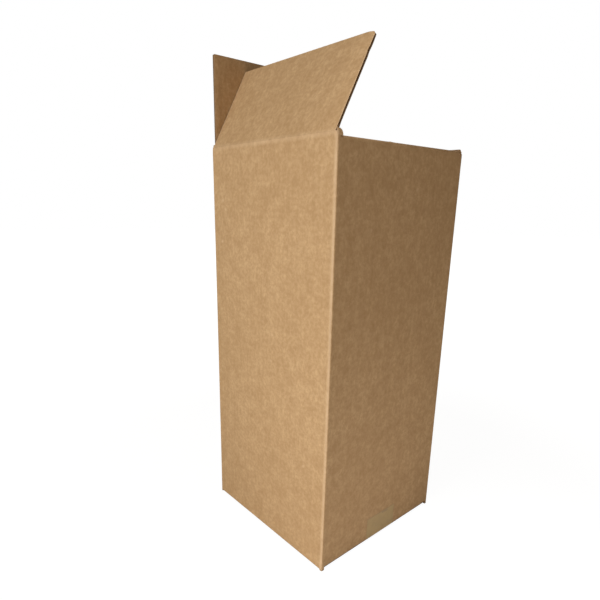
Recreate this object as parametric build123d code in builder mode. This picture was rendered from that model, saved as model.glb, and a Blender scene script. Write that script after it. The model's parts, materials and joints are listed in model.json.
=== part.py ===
from build123d import *
from math import asin, atan2, cos, hypot, pi, tan
import os

# A tall slotted carton, folded from one sheet of corrugated kraft board.
# Lengths are in millimetres and angles in degrees. The origin is the middle of
# the base on the floor, +Z is up, the front wall faces -Y and the right wall +X.

# Outside of the box
outer_width = 184.3
outer_depth = 181.8
side_crease = 410.8

# Section of the board: two liners with a fluted sheet between them
board = 2.6
liner = 0.3
fluting = 0.25
flute_pitch = 6.6
glue_line = 0.9
flute_facets = 5

# Folds and creases
fold_inner_radius = 0.3
fold_reach = 6.0
crushed_band = 6.0
crease_gap = 0.3
lap_gap = 0.2

# Flaps: how far their sides stand in from the corners, and the gap where two meet
main_inset = 3.0
side_inset = 3.6
main_seam = 3.4
side_seam = 0.6
eased_corner = 0.8
crushed_corner = 2.5

# Corners: webs above the creases between the slots, and the foot of each corner
front_web = 5.6
back_web = 1.2
corner_foot = 0.5

# Top flaps, turned out from upright
front_angle = -28.3
left_angle = 0
back_angle = 178

# Glued joint inside the back left corner
tab_width = 34.0
tab_slant = 7.0
tab_end_gap = 4.0
raw_edge_gap = 0.8
raw_groove = 1.5

# Tape over the bottom seam
tape_width = 46.0
tape_thickness = 0.1
tape_top = 29.0

# What follows from these
half_width = outer_width / 2
half_depth = outer_depth / 2
inner_width = outer_width - 2 * board
inner_depth = outer_depth - 2 * board
main_crease = side_crease + board + lap_gap
side_floor = board + lap_gap
main_width = outer_width - 2 * main_inset
side_width = outer_depth - 2 * side_inset
main_length = (outer_depth - main_seam) / 2
side_length = (outer_width - side_seam) / 2
fold_radius = board + fold_inner_radius
middle_radius = board / 2 + fold_inner_radius
past = 2 * board
roof = main_crease + front_web + past


def fluted_board(width, length, plane):
    """Board on a plane, its flutes open along Y and the outer liner up.

    The cavities lie against each liner in turn, half a pitch apart.
    """
    half_core = board / 2 - liner
    reach = (flute_pitch - glue_line) / 2
    cavity = []
    for step in range(flute_facets + 1):
        across = 2 * reach * step / flute_facets - reach
        swing = (half_core - fluting / 2) * cos(pi * across / reach)
        cavity.append((across, fluting / 2 - swing))
    count = int(width / flute_pitch) + 2
    middle = plane.origin - plane.z_dir * board / 2
    with BuildSketch(Plane(middle, x_dir=plane.x_dir, z_dir=-plane.y_dir)) as section:
        Rectangle(width, board)
        with GridLocations(flute_pitch, 0, count, 1):
            Polygon(*cavity, rotation=180, align=None, mode=Mode.SUBTRACT)
        with GridLocations(flute_pitch, 0, count + 1, 1):
            Polygon(*cavity, align=None, mode=Mode.SUBTRACT)
    extrude(section.sketch, amount=-length)


def top_flap(label, origin, along, lean, width, length, left_ease, right_ease):
    """A hinged flap. Its crease runs along the outer liner through the origin.

    The crushed score is a mitre, so that the flap can close square, and the
    two free corners are eased by handling.
    """
    outwards = Vector(*along).cross(Vector(0, 0, 1)).rotate(Axis((0, 0, 0), along), lean)
    face = Plane(origin, x_dir=along, z_dir=outwards)
    side = Plane(face.origin - face.x_dir * width / 2, x_dir=face.y_dir, z_dir=face.x_dir)
    toe = crease_gap / 2
    with BuildPart() as flap:
        with BuildSketch(side):
            with BuildLine():
                Polyline(
                    (toe, 0), (crushed_band, 0), (crushed_band, -board), (toe + board, -board),
                    close=True)
            make_face()
        extrude(amount=width)
        fluted_board(
            width, length - crushed_band,
            Plane(face.origin + face.y_dir * crushed_band, x_dir=along, z_dir=outwards))
        with BuildSketch(face):
            for corner, ease in ((-width / 2, left_ease), (width / 2, -right_ease)):
                with BuildLine():
                    Polyline(
                        (corner, length), (corner + ease, length), (corner, length - abs(ease)),
                        close=True)
                make_face()
        extrude(amount=-board, mode=Mode.SUBTRACT)
    flap.part.label = label
    return flap


os.makedirs("parts", exist_ok=True)

# The sheet: walls, glue tab, bottom flaps and the right flap folded over the top
with BuildPart() as carton_body:
    # Walls, traced from the raw edge at the back left round to the glue tab, which
    # is bonded to the inside of the left wall
    with BuildSketch(Plane.XY.offset(corner_foot)):
        with BuildLine():
            FilletPolyline(
                (board / 2 - half_width, half_depth - raw_edge_gap),
                (board / 2 - half_width, board / 2 - half_depth),
                (half_width - board / 2, board / 2 - half_depth),
                (half_width - board / 2, half_depth - board / 2),
                (0, half_depth - board / 2), radius=middle_radius)
        trace(line_width=board)
        with BuildLine():
            FilletPolyline(
                (0, half_depth - board / 2), (1.5 * board - half_width, half_depth - board / 2),
                (1.5 * board - half_width, half_depth - board - tab_width),
                radius=middle_radius)
        trace(line_width=board)
    extrude(amount=side_crease + front_web - corner_foot)

    # Tab ends, cut short and tapered
    with BuildSketch(Plane.YZ.offset(board - half_width)):
        root = half_depth - board
        tip = root - tab_width
        low = side_floor + board + tab_end_gap
        high = side_crease - board - tab_end_gap
        with BuildLine():
            Polyline(
                (root, 0), (root, low), (tip, low + tab_slant), (tip - past, low + tab_slant),
                (tip - past, 0), close=True)
        make_face()
        with BuildLine():
            Polyline(
                (root, main_crease + past), (root, high), (tip, high - tab_slant),
                (tip - past, high - tab_slant), (tip - past, main_crease + past), close=True)
        make_face()
    extrude(amount=fold_radius, mode=Mode.SUBTRACT)

    # Open flute along the raw edge
    with BuildSketch(Plane.XY):
        with Locations((board / 2 - half_width, half_depth - raw_edge_gap)):
            Rectangle(board - 2 * liner, 2 * raw_groove)
    extrude(amount=main_crease + past, mode=Mode.SUBTRACT)

    # Scored tops of the front and back walls, mitred down to the inside
    with BuildSketch(Plane.YZ.offset(-inner_width / 2)):
        top = main_crease - crease_gap / 2
        with BuildLine():
            Polyline(
                (-half_depth - past, roof), (-half_depth - past, top + past),
                (past - half_depth, top - past), (half_depth - past, top - past),
                (half_depth + past, top + past), (half_depth + past, roof), close=True)
        make_face()
    extrude(amount=inner_width, mode=Mode.SUBTRACT)

    # Scored top of the left wall, through to its raw edge
    with BuildSketch(Plane.XZ.offset(inner_depth / 2)):
        top = side_crease - crease_gap / 2
        with BuildLine():
            Polyline(
                (-half_width - past, roof), (-half_width - past, top + past),
                (past - half_width, top - past), (past - half_width, roof), close=True)
        make_face()
    extrude(amount=-inner_depth - past, mode=Mode.SUBTRACT)

    # Slots beside the right flap, and the lower web behind it
    with BuildSketch(Plane.XY.offset(side_crease - crease_gap / 2)):
        with Locations((half_width, 0)):
            Rectangle(3 * board, inner_depth)
    extrude(amount=front_web + past, mode=Mode.SUBTRACT)
    with BuildSketch(Plane.XY.offset(side_crease + back_web)):
        with Locations((half_width, half_depth)):
            Rectangle(2 * board, 2 * board)
    extrude(amount=front_web + past, mode=Mode.SUBTRACT)

    # Room for the folds, at the top of the right wall and at the foot of every wall
    with BuildSketch(Plane.YZ.offset(inner_width / 2)):
        with Locations((0, side_crease)):
            Rectangle(side_width, 2 * fold_reach)
    extrude(amount=past, mode=Mode.SUBTRACT)
    with BuildSketch(Plane.YZ.offset(-half_width - past)):
        Rectangle(side_width, 2 * (side_floor + fold_reach))
    extrude(amount=outer_width + 2 * past, mode=Mode.SUBTRACT)
    with BuildSketch(Plane.XZ.offset(-half_depth - past)):
        Rectangle(main_width, 2 * fold_reach)
    extrude(amount=outer_depth + 2 * past, mode=Mode.SUBTRACT)

    # Outer bottom flaps, from the front and back walls
    with BuildSketch(Plane.YZ.offset(-main_width / 2)):
        with BuildLine():
            FilletPolyline(
                (main_length - half_depth, board / 2), (board / 2 - half_depth, board / 2),
                (board / 2 - half_depth, fold_reach), radius=middle_radius)
            mirror(about=Plane.YZ)
        trace(line_width=board)
    extrude(amount=main_width)

    # Inner bottom flaps, and the right flap with its flutes open at the free edge
    with BuildSketch(Plane.XZ.offset(-side_width / 2)):
        level = side_floor + board / 2
        with BuildLine():
            FilletPolyline(
                (side_length - half_width, level), (board / 2 - half_width, level),
                (board / 2 - half_width, side_floor + fold_reach), radius=middle_radius)
            FilletPolyline(
                (half_width - side_length, level), (half_width - board / 2, level),
                (half_width - board / 2, side_crease - board / 2),
                (half_width - crushed_band, side_crease - board / 2), radius=middle_radius)
        trace(line_width=board)
    extrude(amount=side_width)
    fluted_board(
        side_width, side_length - crushed_band,
        Plane((half_width - crushed_band, 0, side_crease), x_dir=(0, 1, 0), z_dir=(0, 0, 1)))

    # Step that the tape presses into the outer flaps
    with BuildSketch(Plane.XY):
        Rectangle(main_width, tape_width)
    extrude(amount=tape_thickness, mode=Mode.SUBTRACT)

carton_body.part.label = "carton_body"
export_step(carton_body.part, "parts/carton_body.step")

# Hinged flaps of the open top
front_flap = top_flap(
    "front_flap", (0, -half_depth, main_crease), (1, 0, 0), front_angle,
    main_width, main_length, eased_corner, crushed_corner)
left_flap = top_flap(
    "left_flap", (-half_width, 0, side_crease), (0, -1, 0), left_angle,
    side_width, side_length, eased_corner, eased_corner)
back_flap = top_flap(
    "back_flap", (0, half_depth, main_crease), (-1, 0, 0), back_angle,
    main_width, main_length, eased_corner, eased_corner)
for flap in (front_flap, left_flap, back_flap):
    export_step(flap.part, f"parts/{flap.part.label}.step")

# Tape, pressed flat under the seam, bridging the step to the side walls and up them
with BuildPart() as bottom_tape:
    run_in = main_inset - tape_thickness / 2 - fold_radius
    drop = side_floor - tape_thickness / 2 + fold_radius
    slope = atan2(run_in, drop) + asin((fold_radius + tape_thickness) / hypot(run_in, drop))
    shoulder = tape_thickness / 2 + main_inset / tan(slope)
    step = main_width / 2 + tape_thickness / 2
    with BuildSketch(Plane.XZ.offset(-tape_width / 2)):
        with BuildLine():
            Polyline(
                (-half_width - tape_thickness / 2, tape_top),
                (-half_width - tape_thickness / 2, shoulder),
                (-step, tape_thickness / 2), (step, tape_thickness / 2),
                (half_width + tape_thickness / 2, shoulder),
                (half_width + tape_thickness / 2, tape_top))
        trace(line_width=tape_thickness)
    extrude(amount=tape_width)
bottom_tape.part.label = "bottom_tape"
export_step(bottom_tape.part, "parts/bottom_tape.step")
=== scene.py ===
import json
import math

import bpy
from mathutils import Matrix, Vector, noise


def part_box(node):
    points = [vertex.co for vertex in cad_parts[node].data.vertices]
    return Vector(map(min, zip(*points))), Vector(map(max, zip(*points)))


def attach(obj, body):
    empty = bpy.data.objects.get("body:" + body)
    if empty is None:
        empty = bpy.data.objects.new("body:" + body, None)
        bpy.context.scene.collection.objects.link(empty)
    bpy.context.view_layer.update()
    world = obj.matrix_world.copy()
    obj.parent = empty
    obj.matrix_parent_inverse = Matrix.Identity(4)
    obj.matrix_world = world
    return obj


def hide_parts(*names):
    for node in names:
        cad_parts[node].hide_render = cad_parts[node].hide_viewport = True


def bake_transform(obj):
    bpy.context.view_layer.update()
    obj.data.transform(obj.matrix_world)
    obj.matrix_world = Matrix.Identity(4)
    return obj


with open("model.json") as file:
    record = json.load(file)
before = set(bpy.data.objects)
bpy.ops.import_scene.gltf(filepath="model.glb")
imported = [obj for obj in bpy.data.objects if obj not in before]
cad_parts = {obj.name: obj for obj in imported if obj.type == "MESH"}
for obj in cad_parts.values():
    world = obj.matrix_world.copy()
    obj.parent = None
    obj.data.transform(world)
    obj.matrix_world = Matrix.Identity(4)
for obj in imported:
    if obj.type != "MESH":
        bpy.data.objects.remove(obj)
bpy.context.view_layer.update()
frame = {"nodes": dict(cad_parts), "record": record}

bl_info = {
    "name": "Corrugated carton",
    "version": (1, 0, 0),
    "blender": (4, 5, 0),
    "location": "View3D > Sidebar > Carton",
    "description": "Finishes a tall slotted carton of kraft board around its packed solids",
    "category": "Object",
}

MM = 0.001
BODY_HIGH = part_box("carton_body")[1]
TAPE_LOW, TAPE_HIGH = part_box("bottom_tape")
HINGES = {joint["name"]: joint for joint in frame["record"]["behaviour"]["joints"]}
FRONT_HINGE = Vector(HINGES["front_flap_hinge"]["pos_m"])
LEFT_HINGE = Vector(HINGES["left_flap_hinge"]["pos_m"])
BACK_HINGE = Vector(HINGES["back_flap_hinge"]["pos_m"])
HALF_WIDTH = BODY_HIGH.x
HALF_DEPTH = BODY_HIGH.y
RIM = LEFT_HINGE.z
UP = Vector((0, 0, 1))

# How far the front flap leans in and the back flap is folded out, in degrees
FRONT_LEAN = 28.3
BACK_LEAN = 178.0

# A point this near a surface lies on it, and this gap is left at each hinge line
NEAR = 0.02 * MM
HINGE_GAP = 0.02 * MM

# Reach of the rounded folds at the corners, the feet and the rim
CORNER = 3 * MM
FOOT_FOLD = 12 * MM
RIM_FOLD = 6 * MM

# Webs over the corners, in millimetres: their heights above the rim, how much wider the
# curled one is at its foot, its width at the tip, and the levels where the sheet is cut
FRONT_WEB = 5.6
BACK_WEB = 1.2
CURL_WIDTH = 6.3
CURL_TIP = 1.2
WEB_LEVELS = (-1.2, -0.2, 0.4, 0.9, 1.8, 2.8, 3.8, 4.7)

# Small bump in the right rim, by Y, with its height and reach
BUMP_PLACE = -22.1 * MM
BUMP_HEIGHT = 0.5 * MM
BUMP_REACH = 1.5 * MM

# The back crease is crushed this deep at its right end, from this far below the rim
CRUSH_DEPTH = 3.0 * MM
CRUSH_DROP = 12 * MM

# Wear of the front flap: a nick in its right edge, and its crushed upper right corner,
# whose depth is in millimetres
NICK_RISE = 71.4 * MM
NICK_REACH = 1.9 * MM
NICK_DEPTH = 1.1 * MM
FLAP_END = 89.2 * MM
CORNER_CRUSH = 0.7

# Crushed board in a crease: its reach from the hinge line, its depth where the flap is
# folded right back, the millimetres to each side over which it turns from wall to flap,
# how far it stops short at its ends, and the facets of its section
BEAD_REACH = 3.3 * MM
FOLDED_BEAD = 2.4 * MM
BEAD_END = 0.4 * MM
BEAD_STEPS = 14

# Strength of the painted shade in the hollows between the flutes
HOLLOW_SHADE = 0.09

# Heights of the pale band at the front crease, part stretched fibres and part painted highlight,
# and of the painted shade under the right rim
CREASE_BAND = 412.6 * MM
RIM_SHADE = 406.0 * MM

# Pale rim of the curled web, its liner edge with a painted highlight, by Y and Z, and a smudge on
# the front flap, by X and rise
CURL_RIM = (-84.8, 413.6)
SMUDGE = (83.6, 43.8)

# Small pale scuffs in millimetres, on the front wall by X and Z and the right by Y and Z
FRONT_SCUFFS = ((9.2, 230), (7.7, 202), (60.5, 105), (-69.4, 351), (-76.8, 317), (-73.8, 360))
RIGHT_SCUFFS = ((19.1, 372), (-43.9, 336))

# Painted shadow under a creased, lifted ridge in the tape on the right wall, in millimetres of Y
# and Z
TAPE_RIDGE_SHADOW = ((3.0, 27.1), (5.5, 27.0), (8.0, 26.9), (10.5, 26.8))

# How each upright fold stands off its straight line, in millimetres of X and Y at the
# bottom, the middle and the top
FOLD_SHIFTS = {
    (0, 0): ((0.0, 0.0), (0.2, 0.2), (0.0, 0.0)),
    (1, 0): ((0.0, 0.0), (-0.1, 0.9), (0.0, 0.0)),
    (0, 1): ((0.0, 0.0), (0.4, -0.4), (0.0, 0.0)),
    (1, 1): ((0.0, 0.0), (-0.2, 0.2), (0.0, 0.3)),
}

# Camera fitted to the carton's edges: place in metres, turn in degrees, lens in pixels
CAMERA_PLACE = (0.371811, -0.378412, 0.359237)
CAMERA_TURN = (74.4056, -0.6829, 49.8060)
FRAME_PIXELS = 600
FOCAL_PIXELS = 476.72
CENTRE_PIXELS = (286.8609, 335.1168)
SENSOR_WIDTH = 36.0

# Lamps: places, and what they are aimed at
KEY_PLACE = Vector((0.06, -1.15, 0.62))
KEY_TARGET = Vector((0, -0.09, 0.3))
SIDE_PLACE = Vector((0.08, -1.2, 0.1))
SIDE_TARGET = Vector((0.26, -0.09, 0.12))
FLOOR_LAMP_PLACE = Vector((0.24, -0.1, 1.0))
FLOOR_LAMP_TARGET = Vector((0.44, -0.12, 0))
KEY_COLOUR = (0.95, 0.99, 1.0)
SURROUND = (1.0, 0.83, 0.62, 1.0)
WHITE = (1.0, 1.0, 1.0, 1.0)
FLOOR_GLOW = 1.09


class CartonSizes(bpy.types.PropertyGroup):
    """Sizes of the board's surface and of the carton's wear."""

    board: bpy.props.FloatProperty(
        name="Board", description="Thickness of the board", default=2.6 * MM, unit="LENGTH")
    flute_pitch: bpy.props.FloatProperty(
        name="Flute pitch", description="From one flute to the next", default=6.6 * MM,
        unit="LENGTH")
    washboard: bpy.props.FloatProperty(
        name="Washboard", description="How far the liner sinks between flutes",
        default=0.09 * MM, unit="LENGTH")
    cad_fold: bpy.props.FloatProperty(
        name="Round fold", description="Outer radius of the solid's upright folds",
        default=2.9 * MM, unit="LENGTH")
    fold: bpy.props.FloatProperty(
        name="Fold", description="Outer radius of the pressed upright folds",
        default=1.5 * MM, unit="LENGTH")
    pillow: bpy.props.FloatProperty(
        name="Pillow", description="How far the walls dip between the folds",
        default=0.7 * MM, unit="LENGTH")
    bead: bpy.props.FloatProperty(
        name="Bead", description="Depth of the crushed board left behind a crease",
        default=1.3 * MM, unit="LENGTH")
    front_sag: bpy.props.FloatProperty(
        name="Front flap's sag", description="How far its free edge hangs inwards",
        default=0.05 * MM, unit="LENGTH")
    back_press: bpy.props.FloatProperty(
        name="Back flap's press", description="How far its free edge is pressed to the wall",
        default=1.9 * MM, unit="LENGTH")


class CartonColours(bpy.types.PropertyGroup):
    """Colours of the board, its tape and the stage."""

    pale: bpy.props.FloatVectorProperty(
        name="Pale kraft", description="Lighter fibres of the liner", subtype="COLOR",
        default=(0.60, 0.392, 0.212))
    kraft: bpy.props.FloatVectorProperty(
        name="Kraft", description="Middle colour of the liner", subtype="COLOR",
        default=(0.50, 0.311, 0.152))
    # Also used for the painted shade under the right rim
    dark_fibres_and_shade: bpy.props.FloatVectorProperty(
        name="Dark kraft", description="Darker fibres of the liner", subtype="COLOR",
        default=(0.38, 0.22, 0.097))
    # Used for rubbed scuffs, and for painted highlights along the folds, creases, rims and the
    # flaps' cut edges
    wear_and_highlight: bpy.props.FloatVectorProperty(
        name="Worn kraft", description="Rubbed fibres along folds and edges", subtype="COLOR",
        default=(0.68, 0.47, 0.29))
    # Also used for the painted shade at the feet and the painted shadows along the tape
    core: bpy.props.FloatVectorProperty(
        name="Core", description="Cut edge and fluted sheet", subtype="COLOR",
        default=(0.25, 0.15, 0.08))
    tape: bpy.props.FloatVectorProperty(
        name="Tape", description="Kraft seen through the tape", subtype="COLOR",
        default=(0.47, 0.31, 0.115))
    floor: bpy.props.FloatVectorProperty(
        name="Floor", description="Floor under the carton", subtype="COLOR",
        default=(0.86, 0.86, 0.86))


def sizes():
    """Sizes of the surface, from the scene."""
    return bpy.context.scene.carton_sizes


def colours():
    """Colours, from the scene."""
    return bpy.context.scene.carton_colours


def leaning(lean):
    """The way up a flap that leans towards the back by an angle in degrees."""
    turn = math.radians(lean)
    return Vector((0, math.sin(turn), math.cos(turn)))


def rgba(colour):
    """A colour with full cover."""
    return (*colour, 1.0)


def place_node(tree, kind, settings=None, values=None, links=None):
    """Adds a node to a tree, with its settings, input values and incoming links."""
    made = tree.nodes.new(kind)
    for key, value in (settings or {}).items():
        setattr(made, key, value)
    for key, value in (values or {}).items():
        made.inputs[key].default_value = value
    for key, source in (links or {}).items():
        tree.links.new(source, made.inputs[key])
    return made


def use_group(tree, name, values=None, links=None):
    """Places a shared node group in a material."""
    group = {"node_tree": bpy.data.node_groups[name]}
    return place_node(tree, "ShaderNodeGroup", group, values, links)


def blend_colours(tree, share, first, second, mode="MIX"):
    """Mixes two colours, each a socket or a plain colour, by a share."""
    made = tree.nodes.new("ShaderNodeMix")
    made.data_type = "RGBA"
    made.blend_type = mode
    for key, value in ((0, share), (6, first), (7, second)):
        if isinstance(value, bpy.types.NodeSocket):
            tree.links.new(value, made.inputs[key])
        else:
            made.inputs[key].default_value = value
    return made.outputs[2]


def start_group(name, inputs, outputs):
    """A new node group with named inputs, their default values, and outputs."""
    tree = bpy.data.node_groups.new(name, "ShaderNodeTree")
    for label, kind, value in inputs:
        socket = tree.interface.new_socket(name=label, in_out="INPUT", socket_type=kind)
        if value is not None:
            socket.default_value = value
    for label, kind in outputs:
        tree.interface.new_socket(name=label, in_out="OUTPUT", socket_type=kind)
    return tree, tree.nodes.new("NodeGroupInput"), tree.nodes.new("NodeGroupOutput")


def map_range(tree, source, low, high, to_low=0.0, to_high=1.0):
    """Maps a value from one range to another, clamped."""
    values = {"From Min": low, "From Max": high, "To Min": to_low, "To Max": to_high}
    return place_node(tree, "ShaderNodeMapRange", None, values, {"Value": source}).outputs[0]


def work_out(tree, operation, first, second=None):
    """A math node on sockets or plain numbers."""
    made = tree.nodes.new("ShaderNodeMath")
    made.operation = operation
    for key, value in ((0, first), (1, second)):
        if isinstance(value, bpy.types.NodeSocket):
            tree.links.new(value, made.inputs[key])
        elif value is not None:
            made.inputs[key].default_value = value
    return made.outputs[0]


def noise_value(tree, point, scale, detail=2.0, roughness=0.5, distortion=0.0):
    """A noise texture's value at a point."""
    values = {
        "Scale": scale, "Detail": detail, "Roughness": roughness, "Distortion": distortion}
    return place_node(tree, "ShaderNodeTexNoise", None, values, {"Vector": point}).outputs[0]


def kraft_fibres():
    """Group: the mottle, fibres and specks of kraft liner."""
    tree, given, result = start_group(
        "kraft_fibres",
        (("Vector", "NodeSocketVector", None), ("Pale", "NodeSocketColor", None),
         ("Middle", "NodeSocketColor", None), ("Dark", "NodeSocketColor", None),
         ("Mottle", "NodeSocketFloat", 0.6), ("Specks", "NodeSocketFloat", 0.35)),
        (("Color", "NodeSocketColor"), ("Height", "NodeSocketFloat"),
         ("Roughness", "NodeSocketFloat")))
    point = given.outputs["Vector"]
    stretched = place_node(
        tree, "ShaderNodeMapping", None,
        {"Scale": (1.0, 1.0, 0.3), "Rotation": (0.25, 0.2, 0.1)}, {"Vector": point}).outputs[0]
    clouds = noise_value(tree, point, 300.0, 3.0, 0.6)
    drift = noise_value(tree, point, 95.0, 3.0, 0.6)
    patches = noise_value(tree, point, 9.0, 2.0, 0.5)
    grain = noise_value(tree, point, 1500.0, 2.0, 0.6)
    fibres = noise_value(tree, stretched, 900.0, 3.0, 0.7, 0.6)
    flecks = place_node(
        tree, "ShaderNodeTexVoronoi", {"feature": "F1"},
        {"Scale": 260.0, "Randomness": 1.0}, {"Vector": stretched}).outputs["Distance"]

    mottle = work_out(
        tree, "MULTIPLY", map_range(tree, clouds, 0.4, 0.6), given.outputs["Mottle"])
    colour = blend_colours(tree, mottle, given.outputs["Middle"], given.outputs["Pale"])
    shade = map_range(tree, drift, 0.35, 0.68, 0.0, 0.5)
    colour = blend_colours(tree, shade, colour, given.outputs["Dark"])
    shade = map_range(tree, patches, 0.35, 0.7, 0.0, 0.25)
    colour = blend_colours(tree, shade, colour, given.outputs["Dark"])
    thread = map_range(tree, fibres, 0.5, 0.76, 0.0, 0.5)
    colour = blend_colours(tree, thread, colour, given.outputs["Dark"])
    speck = work_out(
        tree, "MULTIPLY", map_range(tree, flecks, 0.0, 0.16, 1.0, 0.0),
        given.outputs["Specks"])
    colour = blend_colours(tree, speck, colour, given.outputs["Dark"])
    tree.links.new(colour, result.inputs["Color"])
    tree.links.new(work_out(tree, "ADD", grain, fibres), result.inputs["Height"])
    tree.links.new(
        map_range(tree, clouds, 0.3, 0.7, 0.74, 0.9), result.inputs["Roughness"])


def flute_hollow_shade():
    """Group: painted shade that darkens the liner over the hollows between the flutes, leaving
    the crowns paler.
    """
    tree, given, result = start_group(
        "flute_hollow_shade",
        (("Across", "NodeSocketFloat", None), ("Pitch", "NodeSocketFloat", 0.0066),
         ("Strength", "NodeSocketFloat", 0.1), ("Color", "NodeSocketColor", None)),
        (("Color", "NodeSocketColor"),))
    turns = work_out(tree, "DIVIDE", given.outputs["Across"], given.outputs["Pitch"])
    swing = work_out(tree, "COSINE", work_out(tree, "MULTIPLY", turns, 2 * math.pi))
    share = map_range(tree, swing, -1.0, 1.0)
    weight = work_out(tree, "MULTIPLY", share, given.outputs["Strength"])
    darker = blend_colours(tree, 1.0, given.outputs["Color"], (0.72, 0.68, 0.62, 1.0), "MULTIPLY")
    colour = blend_colours(tree, weight, given.outputs["Color"], darker)
    tree.links.new(colour, result.inputs["Color"])


def wear_and_light_band():
    """Group: lays a colour along a line, uneven along its length, for painted highlights, painted
    shade and rubbed wear.
    """
    tree, given, result = start_group(
        "wear_and_light_band",
        (("Vector", "NodeSocketVector", None), ("Place", "NodeSocketFloat", None),
         ("Centre", "NodeSocketFloat", 0.0), ("Reach", "NodeSocketFloat", 0.002),
         ("Strength", "NodeSocketFloat", 0.5), ("Color", "NodeSocketColor", None),
         ("Wear", "NodeSocketColor", None)),
        (("Color", "NodeSocketColor"),))
    away = work_out(tree, "SUBTRACT", given.outputs["Place"], given.outputs["Centre"])
    share = work_out(
        tree, "DIVIDE", work_out(tree, "ABSOLUTE", away), given.outputs["Reach"])
    share = map_range(tree, share, 0.25, 1.0, 1.0, 0.0)
    patchy = map_range(
        tree, noise_value(tree, given.outputs["Vector"], 120.0, 3.0, 0.6), 0.3, 0.62, 0.55, 1.0)
    share = work_out(tree, "MULTIPLY", share, patchy)
    share = work_out(tree, "MULTIPLY", share, given.outputs["Strength"])
    colour = blend_colours(tree, share, given.outputs["Color"], given.outputs["Wear"])
    tree.links.new(colour, result.inputs["Color"])


def wear_and_light_spot():
    """Group: lays a colour round a point, for rubbed scuffs and a smudge, and for painted
    highlights and painted shadows.
    """
    tree, given, result = start_group(
        "wear_and_light_spot",
        (("Vector", "NodeSocketVector", None), ("Spot", "NodeSocketVector", None),
         ("Reach", "NodeSocketFloat", 0.002), ("Strength", "NodeSocketFloat", 0.5),
         ("Color", "NodeSocketColor", None), ("Wear", "NodeSocketColor", None)),
        (("Color", "NodeSocketColor"),))
    away = place_node(
        tree, "ShaderNodeVectorMath", {"operation": "DISTANCE"}, None,
        {0: given.outputs["Vector"], 1: given.outputs["Spot"]}).outputs["Value"]
    share = work_out(tree, "DIVIDE", away, given.outputs["Reach"])
    share = map_range(tree, share, 0.3, 1.0, 1.0, 0.0)
    share = work_out(tree, "MULTIPLY", share, given.outputs["Strength"])
    colour = blend_colours(tree, share, given.outputs["Color"], given.outputs["Wear"])
    tree.links.new(colour, result.inputs["Color"])


def new_material(name):
    """The tree and Principled shader of a new material."""
    material = bpy.data.materials.new(name)
    material.use_nodes = True
    tree = material.node_tree
    return tree, tree.nodes["Principled BSDF"]


def wear_and_light_marks(tree, point, colour, bands=(), spots=()):
    """Lays colours in bands and spots: rubbed wear, painted highlights and painted shade.

    A band is an axis, a place on it, a reach, a strength and a colour. A spot is a
    point, a reach, a strength and a colour.
    """
    split = place_node(tree, "ShaderNodeSeparateXYZ", None, None, {0: point})
    for along, centre, reach, strength, wear in bands:
        colour = use_group(
            tree, "wear_and_light_band",
            {"Centre": centre, "Reach": reach, "Strength": strength, "Wear": rgba(wear)},
            {"Vector": point, "Place": split.outputs[along], "Color": colour}).outputs[0]
    for spot, reach, strength, wear in spots:
        colour = use_group(
            tree, "wear_and_light_spot",
            {"Spot": spot, "Reach": reach, "Strength": strength, "Wear": rgba(wear)},
            {"Vector": point, "Color": colour}).outputs[0]
    return colour


def kraft_liner(name, axis, bands=(), spots=()):
    """Kraft liner with its flutes side by side along an axis, painted shade in the flute hollows,
    and rubbed wear, painted highlights and painted shade laid in bands and spots.
    """
    tree, shader = new_material(name)
    point = tree.nodes.new("ShaderNodeTexCoord").outputs["Object"]
    tint = colours()
    fibres = use_group(
        tree, "kraft_fibres",
        {"Pale": rgba(tint.pale), "Middle": rgba(tint.kraft), "Dark": rgba(tint.dark_fibres_and_shade),
         "Mottle": 0.9, "Specks": 0.5},
        {"Vector": point})
    split = place_node(tree, "ShaderNodeSeparateXYZ", None, None, {0: point})
    # Painted shade in the hollows between the flutes
    colour = use_group(
        tree, "flute_hollow_shade", {"Pitch": sizes().flute_pitch, "Strength": HOLLOW_SHADE},
        {"Across": split.outputs[axis], "Color": fibres.outputs["Color"]}).outputs[0]
    colour = wear_and_light_marks(tree, point, colour, bands, spots)
    bump = place_node(
        tree, "ShaderNodeBump", None, {"Strength": 0.35, "Distance": 0.06 * MM},
        {"Height": fibres.outputs["Height"]})
    tree.links.new(colour, shader.inputs["Base Color"])
    tree.links.new(fibres.outputs["Roughness"], shader.inputs["Roughness"])
    tree.links.new(bump.outputs[0], shader.inputs["Normal"])
    shader.inputs["Specular IOR Level"].default_value = 0.25


def painted_foot_shade():
    """Painted shade: a dark band along the foot of the walls and the tape, where the bottom fold
    turns under.
    """
    return (2, 0.2 * MM, 2.4 * MM, 0.55, colours().core)


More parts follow.
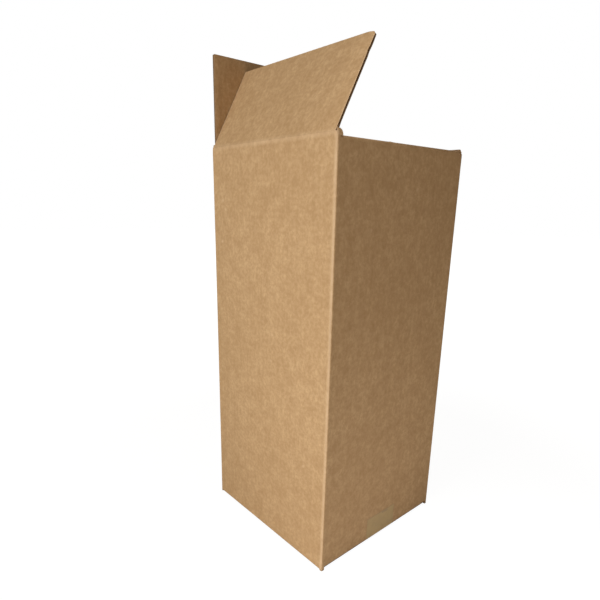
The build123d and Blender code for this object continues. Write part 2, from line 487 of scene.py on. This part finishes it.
def wall_liners():
    """Liners of the walls, with painted highlights on the front right fold and the right rim, a
    pale front crease that is part stretched fibres and part painted highlight, painted shade
    under the right rim and at their feet, and rubbed scuffs.
    """
    tint = colours()
    scuffs = [
        (Vector((x * MM, -HALF_DEPTH, z * MM)), 2.4 * MM, 0.5, tint.wear_and_highlight)
        for x, z in FRONT_SCUFFS]
    # The pale band along the front right fold is a painted highlight where the rounded fold
    # catches light, the pale band at the crease is part stretched fibres and part painted
    # highlight, and the foot band is painted shade
    kraft_liner(
        "front_liner", 0,
        ((0, HALF_WIDTH - 0.9 * MM, 3.4 * MM, 0.62, tint.wear_and_highlight),
         (2, CREASE_BAND, 3.4 * MM, 0.3, tint.wear_and_highlight), painted_foot_shade()), scuffs)
    scuffs = [
        (Vector((HALF_WIDTH, y * MM, z * MM)), 2.2 * MM, 0.35, tint.wear_and_highlight)
        for y, z in RIGHT_SCUFFS]
    y, z = CURL_RIM
    curl_rim = (Vector((HALF_WIDTH, y * MM, z * MM)), 2.6 * MM, 0.8, tint.wear_and_highlight)
    # The pale band at the rim is a painted highlight where the rim fold catches light, the band
    # below it and the foot band are painted shade, the curled web's rim spot is the pale liner
    # edge with a painted highlight, and the scuffs are rubbed wear
    kraft_liner(
        "side_liner", 1,
        ((2, RIM, 1.3 * MM, 0.3, tint.wear_and_highlight), (2, RIM_SHADE, 3.0 * MM, 0.22, tint.dark_fibres_and_shade),
         painted_foot_shade()), scuffs + [curl_rim])


def flap_liners():
    """Liners of the hinged flaps, with a painted highlight along their cut edges and over the
    front and back flaps' crease, and a smudge on the front flap.
    """
    tint = colours()
    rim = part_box("front_flap")[1].x
    # A painted highlight along the flaps' cut edges, where the bent liner edge catches light
    edges = [(0, side * rim, 1.3 * MM, 0.55, tint.wear_and_highlight) for side in (-1, 1)]
    x, rise = SMUDGE
    smudge = FRONT_HINGE + Vector((x * MM, 0, 0)) + leaning(FRONT_LEAN) * rise * MM
    # A painted highlight over the crease
    crease = (2, FRONT_HINGE.z, 3.0 * MM, 0.25, tint.wear_and_highlight)
    kraft_liner("main_flap_liner", 0, edges + [crease], ((smudge, 4.0 * MM, 0.4, tint.dark_fibres_and_shade),))
    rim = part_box("left_flap")[1].y
    # A painted highlight along the left flap's cut edges
    edges = [(1, side * rim, 1.3 * MM, 0.4, tint.wear_and_highlight) for side in (-1, 1)]
    kraft_liner("side_flap_liner", 1, edges)


def cut_board():
    """Cut edges and the fluted sheet: darker, rough, with torn fibres."""
    tree, shader = new_material("cut_board")
    point = tree.nodes.new("ShaderNodeTexCoord").outputs["Object"]
    tint = colours()
    fibres = use_group(
        tree, "kraft_fibres",
        {"Pale": rgba(tint.dark_fibres_and_shade), "Middle": rgba(tint.core), "Dark": rgba(tint.core),
         "Mottle": 0.7, "Specks": 0.2},
        {"Vector": point})
    bump = place_node(
        tree, "ShaderNodeBump", None, {"Strength": 0.6, "Distance": 0.15 * MM},
        {"Height": fibres.outputs["Height"]})
    tree.links.new(fibres.outputs["Color"], shader.inputs["Base Color"])
    tree.links.new(fibres.outputs["Roughness"], shader.inputs["Roughness"])
    tree.links.new(bump.outputs[0], shader.inputs["Normal"])
    shader.inputs["Specular IOR Level"].default_value = 0.15


def packing_tape():
    """Clear brown packing tape, pressed down on the board, with painted shadows at its lifted top
    edge and under a lifted ridge, and painted shade at its foot.
    """
    tree, shader = new_material("packing_tape")
    point = tree.nodes.new("ShaderNodeTexCoord").outputs["Object"]
    tint = colours()
    fibres = use_group(
        tree, "kraft_fibres",
        {"Pale": rgba([1.1 * c for c in tint.tape]), "Middle": rgba(tint.tape),
         "Dark": rgba([0.8 * c for c in tint.tape]), "Mottle": 0.5, "Specks": 0.2},
        {"Vector": point})
    # Darker along the tape's top edge, a painted shadow where its end lifts off the board, darker
    # along its two side edges, and painted shade at its foot
    bands = (
        (2, TAPE_HIGH.z, 0.9 * MM, 0.5, tint.core), (1, TAPE_LOW.y, 0.8 * MM, 0.35, tint.core),
        (1, TAPE_HIGH.y, 0.8 * MM, 0.35, tint.core), painted_foot_shade())
    # Painted shadow under a lifted ridge in the tape on the right wall
    ridge_shadow = [
        (Vector((TAPE_HIGH.x, y * MM, z * MM)), 1.6 * MM, 0.6, tint.core)
        for y, z in TAPE_RIDGE_SHADOW]
    colour = wear_and_light_marks(tree, point, fibres.outputs["Color"], bands, ridge_shadow)
    ripple = noise_value(tree, point, 120.0)
    bump = place_node(
        tree, "ShaderNodeBump", None, {"Strength": 0.4, "Distance": 0.2 * MM},
        {"Height": ripple})
    tree.links.new(colour, shader.inputs["Base Color"])
    tree.links.new(map_range(tree, ripple, 0.0, 1.0, 0.22, 0.45), shader.inputs["Roughness"])
    tree.links.new(bump.outputs[0], shader.inputs["Normal"])


def deselect_all():
    """Leaves edit mode and deselects every object."""
    if bpy.context.object and bpy.context.object.mode != "OBJECT":
        bpy.ops.object.mode_set(mode="OBJECT")
    bpy.ops.object.select_all(action="DESELECT")


def board_copy(node, name):
    """A copy of a CAD node's mesh, merged, with its flat faces whole again."""
    deselect_all()
    source = frame["nodes"][node]
    source.select_set(True)
    bpy.context.view_layer.objects.active = source
    bpy.ops.object.duplicate()
    piece = bpy.context.object
    piece.name = name
    piece.data.name = name
    piece.parent = None
    piece.matrix_world = Matrix.Identity(4)
    piece.data.materials.clear()
    bpy.ops.mesh.customdata_custom_splitnormals_clear()
    bpy.ops.object.mode_set(mode="EDIT")
    bpy.ops.mesh.select_all(action="SELECT")
    bpy.ops.mesh.remove_doubles(threshold=0.005 * MM)
    bpy.ops.mesh.dissolve_limited(angle_limit=math.radians(0.5))
    return piece


def slice_along(direction, places):
    """In edit mode, cuts the mesh by planes square to a direction, at each place."""
    normal = Vector(direction)
    for place in places:
        bpy.ops.mesh.select_all(action="SELECT")
        bpy.ops.mesh.bisect(plane_co=normal * place, plane_no=normal, threshold=0.001 * MM)


def spaced(low, high, step):
    """Places from low to high, about a step apart, with the ends left out."""
    count = max(2, round((high - low) / step))
    return [low + (high - low) * index / count for index in range(1, count)]


def flute_cuts(half, share):
    """Places across the flutes, a share of their pitch apart, in line with the middle one."""
    step = sizes().flute_pitch * share
    count = int(half / step)
    return [index * step for index in range(-count, count + 1)]


def wave(across):
    """How deep the liner sinks at a place across the flutes, from 0 to 1."""
    return 0.5 + 0.5 * math.cos(2 * math.pi * across / sizes().flute_pitch)


def smooth(value, low, high):
    """Rises from 0 at low to 1 at high, level at both ends."""
    share = min(max((value - low) / (high - low), 0.0), 1.0)
    return share * share * (3 - 2 * share)


def settle(point):
    """Where a point of the walls lies once the folds have bowed and the rim is rubbed."""
    up = min(max(point.z / RIM, 0.0), 1.0)
    right = (point.x + HALF_WIDTH) / (2 * HALF_WIDTH)
    back = (point.y + HALF_DEPTH) / (2 * HALF_DEPTH)
    weights = ((1 - up) * (1 - 2 * up), 4 * up * (1 - up), up * (2 * up - 1))
    moved = point.copy()
    for (side, end), heights in FOLD_SHIFTS.items():
        share = (right if side else 1 - right) * (back if end else 1 - back)
        for weight, (x, y) in zip(weights, heights):
            moved.x += share * weight * x * MM
            moved.y += share * weight * y * MM
    if point.x > HALF_WIDTH - CORNER and point.z > RIM - 1.5 * MM:
        moved.z += BUMP_HEIGHT * math.exp(-((point.y - BUMP_PLACE) / BUMP_REACH) ** 2)
    return crush_crease(moved)


def crush_crease(point):
    """Presses the back crease down towards its right end, where the flap is folded back."""
    if point.y < HALF_DEPTH - 3.5 * MM or point.z < RIM - CRUSH_DROP:
        return point
    depth = CRUSH_DEPTH * smooth(point.x, 0.3 * HALF_WIDTH, 0.92 * HALF_WIDTH)
    depth *= smooth(point.z, RIM - CRUSH_DROP, BACK_HINGE.z)
    return point - UP * depth


def wall_dip(point):
    """How far a wall dips inwards at a point, as a share of its deepest, fading at folds."""
    across = max(0.0, 1 - (point.x / HALF_WIDTH) ** 2)
    along = max(0.0, 1 - (point.y / HALF_DEPTH) ** 2)
    up = min(max(point.z / RIM, 0), 1)
    unevenness = 0.5 + 0.5 * noise.noise(point * 14)
    return max(across, along) * math.sin(math.pi * up) * unevenness


def press_fold(point):
    """Presses the round upright folds to a tighter outer radius."""
    round_fold, fold = sizes().cad_fold, sizes().fold
    away = Vector((
        abs(point.x) - HALF_WIDTH + round_fold, abs(point.y) - HALF_DEPTH + round_fold))
    if away.x < 0 or away.y < 0 or away.length < round_fold - 0.3 * MM:
        return point
    away = away.normalized() * fold
    x = HALF_WIDTH - fold + away.x
    y = HALF_DEPTH - fold + away.y
    return Vector((math.copysign(x, point.x), math.copysign(y, point.y), point.z))


def shape_web(point):
    """Curls the web over the front right corner and crushes the others."""
    rise = (point.z - RIM) / MM
    board = sizes().board
    deep_x = abs(point.x) - HALF_WIDTH + board
    deep_y = abs(point.y) - HALF_DEPTH + board
    if rise < 0.2 or min(deep_x, deep_y) < -0.01 * MM:
        return point
    moved = point.copy()
    if point.x > 0 and point.y < 0:
        height = min(rise / FRONT_WEB, 1.0)
        wide = (CURL_WIDTH * math.sqrt(max(0.0, 1 - height ** 2.4)) + CURL_TIP) * MM
        share = (point.y + HALF_DEPTH) / board
        curl = smooth(deep_x, 0.0, 0.8 * MM)
        moved.y += share * (wide - board) * curl
        moved.z -= 1.5 * MM * smooth(share, 0.5, 1.0) * (1 - smooth(rise, 0.3, 2.5)) * curl
        moved.x -= 1.2 * MM * height ** 2 * deep_x / board
        return moved
    if point.y < 0:
        height = min(max(rise - 0.5, 0.0) / (FRONT_WEB - 0.5), 1.0)
        crush_x, crush_y = 0.8 * height, 0.45 * height
    else:
        crush_x = crush_y = 0.5 * min(rise / BACK_WEB, 1.0)
    moved.x = math.copysign(abs(point.x) - deep_x * crush_x, point.x)
    moved.y = math.copysign(abs(point.y) - deep_y * crush_y, point.y)
    return moved


def finish_mesh(piece, angle=28):
    """Leaves edit mode, joins stray doubles and shades smooth up to an angle."""
    bpy.ops.mesh.select_all(action="SELECT")
    bpy.ops.mesh.remove_doubles(threshold=0.002 * MM)
    bpy.ops.object.mode_set(mode="OBJECT")
    bpy.ops.object.shade_smooth_by_angle(angle=math.radians(angle))
    return piece


def add_materials(piece, names):
    """Puts the named materials in a piece's slots, in that order."""
    for name in names:
        piece.data.materials.append(bpy.data.materials[name])


class CARTON_OT_sheet(bpy.types.Operator):
    """Makes the folded sheet: walls, bottom flaps, closed right flap and glue tab."""

    bl_idname = "carton.sheet"
    bl_label = "Folded sheet"

    def execute(self, context):
        piece = board_copy("carton_body", "folded_sheet")
        slice_along((0, 0, 1), spaced(0, RIM, 14 * MM))
        slice_along((0, 0, 1), [RIM + level * MM for level in WEB_LEVELS])
        slice_along((1, 0, 0), flute_cuts(HALF_WIDTH - CORNER, 0.5))
        slice_along((0, 1, 0), flute_cuts(HALF_DEPTH - CORNER, 0.5))
        finish_mesh(piece)
        self.dress(piece)
        self.shape_walls(piece)
        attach(piece, "carton")
        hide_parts("carton_body")
        return {"FINISHED"}

    def shape_walls(self, piece):
        """Sinks the liners between flutes, dips the walls, and presses and bows the folds."""
        board = sizes().board
        for vertex in piece.data.vertices:
            point = vertex.co.copy()
            upright = FOOT_FOLD < point.z < RIM - RIM_FOLD
            dip = wall_dip(point) * sizes().pillow
            for axis, half in ((0, HALF_WIDTH), (1, HALF_DEPTH)):
                other = 1 - axis
                for side in (-1, 1):
                    depth = side * (side * half - vertex.co[axis])
                    if not upright or depth > board + NEAR or depth < -NEAR:
                        continue
                    inwards = dip
                    if depth < NEAR:
                        inwards += sizes().washboard * wave(vertex.co[other])
                    elif abs(depth - board) < NEAR:
                        inwards -= sizes().washboard * wave(vertex.co[other])
                    point[axis] -= side * inwards
            point = self.meet_hinge(point)
            vertex.co = settle(press_fold(point) + shape_web(point) - point)

    def meet_hinge(self, point):
        """Draws the outer edge of a scored wall up to its hinge line."""
        for axis, hinge in ((1, FRONT_HINGE), (0, LEFT_HINGE), (1, BACK_HINGE)):
            at_wall = abs(point[axis] - hinge[axis]) < 0.05 * MM
            if at_wall and abs(point.z - hinge.z + 0.15 * MM) < 0.06 * MM:
                point.z = hinge.z - HINGE_GAP
        return point

    def dress(self, piece):
        """Gives each face the liner for its flutes, or the cut edge."""
        add_materials(piece, ("front_liner", "side_liner", "cut_board"))
        board = sizes().board
        inside = board + 0.3 * MM
        for face in piece.data.polygons:
            middle, normal = face.center, face.normal
            if abs(normal.y) > 0.7:
                face.material_index = 0
                if middle.x < -HALF_WIDTH + board and middle.y > HALF_DEPTH - CORNER:
                    face.material_index = 2
                if middle.z < 2 * inside and abs(middle.y) < HALF_DEPTH - inside:
                    face.material_index = 2
            elif abs(normal.x) > 0.7:
                face.material_index = 1
                if abs(middle.x) < HALF_WIDTH - 2 * inside:
                    face.material_index = 2
                if middle.z < board and abs(middle.x) < HALF_WIDTH - 2.5 * MM:
                    face.material_index = 2
            elif abs(normal.z) > 0.9:
                lower = middle.z < board + 0.1 * MM
                face.material_index = 0 if lower else 1
            web_end = normal.y > 0.7 and middle.x > 0 > middle.y
            if middle.z > RIM + 0.3 * MM and (abs(normal.z) > 0.9 or web_end):
                face.material_index = 2


class CARTON_OT_flaps(bpy.types.Operator):
    """Makes the three hinged flaps, with open flutes at their free edges."""

    bl_idname = "carton.flaps"
    bl_label = "Hinged flaps"

    def execute(self, context):
        flaps = (
            ("front_flap", FRONT_HINGE, Vector((1, 0, 0)), leaning(FRONT_LEAN),
             -sizes().front_sag),
            ("left_flap", LEFT_HINGE, Vector((0, -1, 0)), UP, 0.0),
            ("back_flap", BACK_HINGE, Vector((-1, 0, 0)), leaning(BACK_LEAN),
             sizes().back_press),
        )
        for node, hinge, along, up, swing in flaps:
            piece = board_copy(node, node + "_board")
            self.shape(piece, hinge, along, up, swing)
            if node == "front_flap":
                self.damage(piece, hinge, along, up)
            liner = "main_flap_liner" if abs(along.x) > 0.5 else "side_flap_liner"
            add_materials(piece, (liner, "cut_board"))
            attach(piece, node)
            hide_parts(node)
        return {"FINISHED"}

    def shape(self, piece, hinge, along, up, swing):
        """Cuts a flap into a fine grid, marks its faces, sinks its liners and swings it."""
        out = along.cross(up)
        board = sizes().board
        reach = max((vertex.co - hinge).dot(up) for vertex in piece.data.vertices)
        half = max((vertex.co - hinge).dot(along) for vertex in piece.data.vertices)
        start = hinge.dot(up)
        slice_along(along, flute_cuts(half, 0.25))
        slice_along(up, [start + place for place in spaced(0, reach, 4.5 * MM)])
        finish_mesh(piece)
        for face in piece.data.polygons:
            offset = face.center - hinge
            outer = offset.dot(out) > -0.2 * MM or offset.dot(out) < 0.2 * MM - board
            flat = abs(face.normal.dot(out)) > 0.9
            side = abs(face.normal.dot(along)) > 0.9
            scored = offset.dot(up) < board + 1 * MM and not side
            face.material_index = 0 if (flat and outer) or scored else 1
        for vertex in piece.data.vertices:
            offset = vertex.co - hinge
            across, rise, height = offset.dot(along), offset.dot(up), offset.dot(out)
            lift = 0.0
            if abs(height) < NEAR:
                lift = -sizes().washboard * wave(across)
            elif abs(height + board) < NEAR:
                lift = sizes().washboard * wave(across)
            if abs(height) < NEAR and rise < 0.3 * MM:
                vertex.co -= up * (rise - HINGE_GAP)
            lift *= smooth(rise, 0.3 * MM, 4 * MM)
            edge = smooth(abs(across), half - 3.5 * MM, half - 0.3 * MM)
            lift -= height * 0.12 * edge * smooth(rise, 4 * MM, 9 * MM)
            share = smooth(rise, 0.0, reach) * 0.3 + max(rise, 0.0) / reach * 0.7
            curl = 0.2 * MM * abs(noise.noise(vertex.co * 11)) * smooth(rise, 5 * MM, 30 * MM)
            vertex.co += out * (lift + swing * share + curl)
            # Only the back flap is pressed to its wall, and crushed with its crease
            if swing > 0:
                vertex.co = crush_crease(vertex.co)

    def damage(self, piece, hinge, along, up):
        """Nicks the front flap's right edge and crushes its upper right corner."""
        out = along.cross(up)
        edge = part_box("front_flap")[1].x
        for vertex in piece.data.vertices:
            offset = vertex.co - hinge
            to_edge = edge - offset.x
            rise, height = offset.dot(up), offset.dot(out)
            nick = math.exp(-((rise - NICK_RISE) / NICK_REACH) ** 2)
            nick *= 1 - smooth(to_edge, 0.0, 2.5 * MM)
            vertex.co.x -= NICK_DEPTH * nick
            vertex.co -= out * 0.5 * MM * nick
            corner = math.hypot(to_edge, FLAP_END - rise)
            crush = 1 - smooth(corner, 1.0 * MM, 9.0 * MM)
            vertex.co -= up * CORNER_CRUSH * MM * crush
            vertex.co -= out * (height + 1.3 * MM) * 0.35 * crush


class CARTON_OT_creases(bpy.types.Operator):
    """Makes the crushed board that joins each hinged flap to its wall."""

    bl_idname = "carton.creases"
    bl_label = "Creases"

    def execute(self, context):
        main_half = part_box("front_flap")[1].x
        side_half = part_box("left_flap")[1].y
        right, back = Vector((1, 0, 0)), Vector((0, 1, 0))
        creases = (
            ("front_flap", FRONT_HINGE, right, back, -FRONT_LEAN, main_half),
            ("left_flap", LEFT_HINGE, back, right, 0.0, side_half),
            ("back_flap", BACK_HINGE, right, -back, BACK_LEAN, main_half),
        )
        for node, hinge, along, inwards, lean, half in creases:
            piece = self.bead(node + "_crease", hinge, along, inwards, lean, half)
            if lean > 90:
                for vertex in piece.data.vertices:
                    vertex.co = crush_crease(vertex.co)
            liner = "front_liner" if abs(along.x) > 0.5 else "side_liner"
            add_materials(piece, (liner,))
            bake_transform(piece)
        return {"FINISHED"}

    def bead(self, name, hinge, along, inwards, lean, half):
        """A bar along the crease whose section fans from the wall's mitre to the flap's."""
        first, last = math.radians(-44), math.radians(44 + lean)
        inner = 0.1 * MM
        middle = sizes().bead if lean < 90 else FOLDED_BEAD
        section = []
        for step in range(BEAD_STEPS + 1):
            share = step / BEAD_STEPS
            angle = first + (last - first) * share
            radius = middle + (BEAD_REACH - middle) * abs(2 * share - 1) ** 2.2
            section.append((inwards * math.cos(angle) + UP * math.sin(angle)) * radius)
        turn = first + (last - first) / 2
        section.append((inwards * math.cos(turn) + UP * math.sin(turn)) * inner)
        deselect_all()
        bpy.ops.mesh.primitive_circle_add(vertices=len(section), radius=0.01, fill_type="NGON")
        piece = bpy.context.object
        piece.name = name
        piece.data.name = name
        start = hinge - along * (half - BEAD_END)
        for vertex, place in zip(piece.data.vertices, section):
            vertex.co = start + place
        piece.matrix_world = Matrix.Identity(4)
        bpy.ops.object.mode_set(mode="EDIT")
        bpy.ops.mesh.select_all(action="SELECT")
        length = along * 2 * (half - BEAD_END)
        bpy.ops.mesh.extrude_region_move(TRANSFORM_OT_translate={"value": tuple(length)})
        slice_along(along, spaced(start.dot(along), (start + length).dot(along), 6.6 * MM))
        bpy.ops.mesh.select_all(action="SELECT")
        bpy.ops.mesh.normals_make_consistent(inside=False)
        return finish_mesh(piece, 40)


class CARTON_OT_tape(bpy.types.Operator):
    """Dresses the tape over the bottom seam."""

    bl_idname = "carton.tape"
    bl_label = "Tape"

    def execute(self, context):
        piece = board_copy("bottom_tape", "seam_tape")
        slice_along((0, 0, 1), spaced(0, TAPE_HIGH.z, 2.0 * MM))
        slice_along((0, 1, 0), spaced(TAPE_LOW.y, TAPE_HIGH.y, 2.0 * MM))
        slice_along((1, 0, 0), spaced(TAPE_LOW.x + 4 * MM, TAPE_HIGH.x - 4 * MM, 6 * MM))
        finish_mesh(piece)
        for vertex in piece.data.vertices:
            vertex.co = settle(vertex.co)
        add_materials(piece, ("packing_tape",))
        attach(piece, "carton")
        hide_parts("bottom_tape")
        return {"FINISHED"}


class CARTON_OT_finishes(bpy.types.Operator):
    """Makes the node groups and the materials of the board and tape."""

    bl_idname = "carton.finishes"
    bl_label = "Finishes"

    def execute(self, context):
        kraft_fibres()
        flute_hollow_shade()
        wear_and_light_band()
        wear_and_light_spot()
        wall_liners()
        flap_liners()
        cut_board()
        packing_tape()
        return {"FINISHED"}


class CARTON_OT_stage(bpy.types.Operator):
    """Sets the camera, the pale floor, the lamps and the world."""

    bl_idname = "carton.stage"
    bl_label = "Stage"

    def execute(self, context):
        self.camera(context)
        self.floor()
        self.lamps()
        self.world(context)
        context.scene.view_settings.view_transform = "Standard"
        return {"FINISHED"}

    def camera(self, context):
        """The camera stands in front of the near corner, a little below the rim."""
        turn = [math.radians(angle) for angle in CAMERA_TURN]
        deselect_all()
        bpy.ops.object.camera_add(location=CAMERA_PLACE, rotation=turn)
        camera = context.object
        camera.name = "camera"
        centre_x, centre_y = CENTRE_PIXELS
        camera.data.sensor_width = SENSOR_WIDTH
        camera.data.lens = FOCAL_PIXELS * camera.data.sensor_width / FRAME_PIXELS
        camera.data.shift_x = (FRAME_PIXELS / 2 - centre_x) / FRAME_PIXELS
        camera.data.shift_y = (centre_y - FRAME_PIXELS / 2) / FRAME_PIXELS
        camera.data.clip_start = 0.01
        camera.data.clip_end = 50.0
        context.scene.camera = camera

    def floor(self):
        """A round floor that shows white to the camera and keeps a soft shadow."""
        deselect_all()
        bpy.ops.mesh.primitive_circle_add(
            vertices=96, radius=6.0, fill_type="NGON", location=(0, 0, -0.05 * MM))
        floor = bpy.context.object
        floor.name = "floor"
        tree, shader = new_material("floor")
        shader.inputs["Base Color"].default_value = rgba(colours().floor)
        shader.inputs["Roughness"].default_value = 0.9
        glow = place_node(
            tree, "ShaderNodeEmission", None, {"Color": WHITE, "Strength": FLOOR_GLOW})
        point = tree.nodes.new("ShaderNodeTexCoord").outputs["Object"]
        away = place_node(
            tree, "ShaderNodeVectorMath", {"operation": "LENGTH"}, None, {0: point})
        white = map_range(tree, away.outputs["Value"], 0.35, 1.1, 0.88, 1.0)
        path = tree.nodes.new("ShaderNodeLightPath")
        share = work_out(tree, "MULTIPLY", path.outputs["Is Camera Ray"], white)
        mixed = place_node(tree, "ShaderNodeMixShader")
        tree.links.new(share, mixed.inputs[0])
        tree.links.new(shader.outputs[0], mixed.inputs[1])
        tree.links.new(glow.outputs[0], mixed.inputs[2])
        tree.links.new(mixed.outputs[0], tree.nodes["Material Output"].inputs["Surface"])
        add_materials(floor, ("floor",))

    def lamps(self):
        """A soft key before the front wall, a spot low on its right, and a pool of light."""
        deselect_all()
        bpy.ops.object.light_add(
            type="AREA", location=KEY_PLACE, rotation=self.aim(KEY_PLACE, KEY_TARGET))
        key = bpy.context.object
        key.name = "key_lamp"
        key.data.shape = "DISK"
        key.data.size = 0.7
        key.data.energy = 8.3
        key.data.color = KEY_COLOUR
        self.spot(
            "side_lamp", SIDE_PLACE, SIDE_TARGET, energy=12.0, angle=48, radius=0.15)
        self.spot(
            "floor_lamp", FLOOR_LAMP_PLACE, FLOOR_LAMP_TARGET, energy=50.0, angle=50,
            radius=0.1)

    def aim(self, place, target):
        """Rotation of a lamp at a place that shines at a target."""
        return (target - place).to_track_quat("-Z", "Y").to_euler()

    def spot(self, name, place, target, energy, angle, radius):
        """A spot lamp that fades out from its middle."""
        deselect_all()
        bpy.ops.object.light_add(type="SPOT", location=place, rotation=self.aim(place, target))
        lamp = bpy.context.object
        lamp.name = name
        lamp.data.energy = energy
        lamp.data.spot_size = math.radians(angle)
        lamp.data.spot_blend = 1.0
        lamp.data.shadow_soft_size = radius

    def world(self, context):
        """An even warm surround, which the camera and reflections see as white."""
        world = bpy.data.worlds.new("surround")
        context.scene.world = world
        world.use_nodes = True
        tree = world.node_tree
        back = tree.nodes["Background"]
        back.inputs["Color"].default_value = SURROUND
        back.inputs["Strength"].default_value = 0.22
        path = tree.nodes.new("ShaderNodeLightPath")
        seen = work_out(
            tree, "MAXIMUM", path.outputs["Is Camera Ray"], path.outputs["Is Glossy Ray"])
        seen = work_out(tree, "MAXIMUM", seen, path.outputs["Is Transmission Ray"])
        white = place_node(
            tree, "ShaderNodeBackground", None, {"Color": WHITE, "Strength": 1.0})
        mixed = place_node(tree, "ShaderNodeMixShader")
        tree.links.new(seen, mixed.inputs[0])
        tree.links.new(back.outputs[0], mixed.inputs[1])
        tree.links.new(white.outputs[0], mixed.inputs[2])
        tree.links.new(mixed.outputs[0], tree.nodes["World Output"].inputs["Surface"])


STEPS = (
    CARTON_OT_finishes, CARTON_OT_stage, CARTON_OT_sheet, CARTON_OT_flaps, CARTON_OT_creases,
    CARTON_OT_tape)


class CARTON_PT_panel(bpy.types.Panel):
    """Lists the carton's sizes, colours and steps."""

    bl_label = "Carton"
    bl_idname = "CARTON_PT_panel"
    bl_space_type = "VIEW_3D"
    bl_region_type = "UI"
    bl_category = "Carton"

    def draw(self, context):
        for group in (context.scene.carton_sizes, context.scene.carton_colours):
            for name in group.__annotations__:
                self.layout.prop(group, name)
        for step in STEPS:
            self.layout.operator(step.bl_idname)


CLASSES = (CartonSizes, CartonColours, *STEPS, CARTON_PT_panel)


def register():
    for made in CLASSES:
        bpy.utils.register_class(made)
    bpy.types.Scene.carton_sizes = bpy.props.PointerProperty(type=CartonSizes)
    bpy.types.Scene.carton_colours = bpy.props.PointerProperty(type=CartonColours)


def unregister():
    del bpy.types.Scene.carton_colours
    del bpy.types.Scene.carton_sizes
    for made in reversed(CLASSES):
        bpy.utils.unregister_class(made)


def main():
    register()
    for step in STEPS:
        group, name = step.bl_idname.split(".")
        getattr(getattr(bpy.ops, group), name)()


if __name__ == "__main__":
    main()
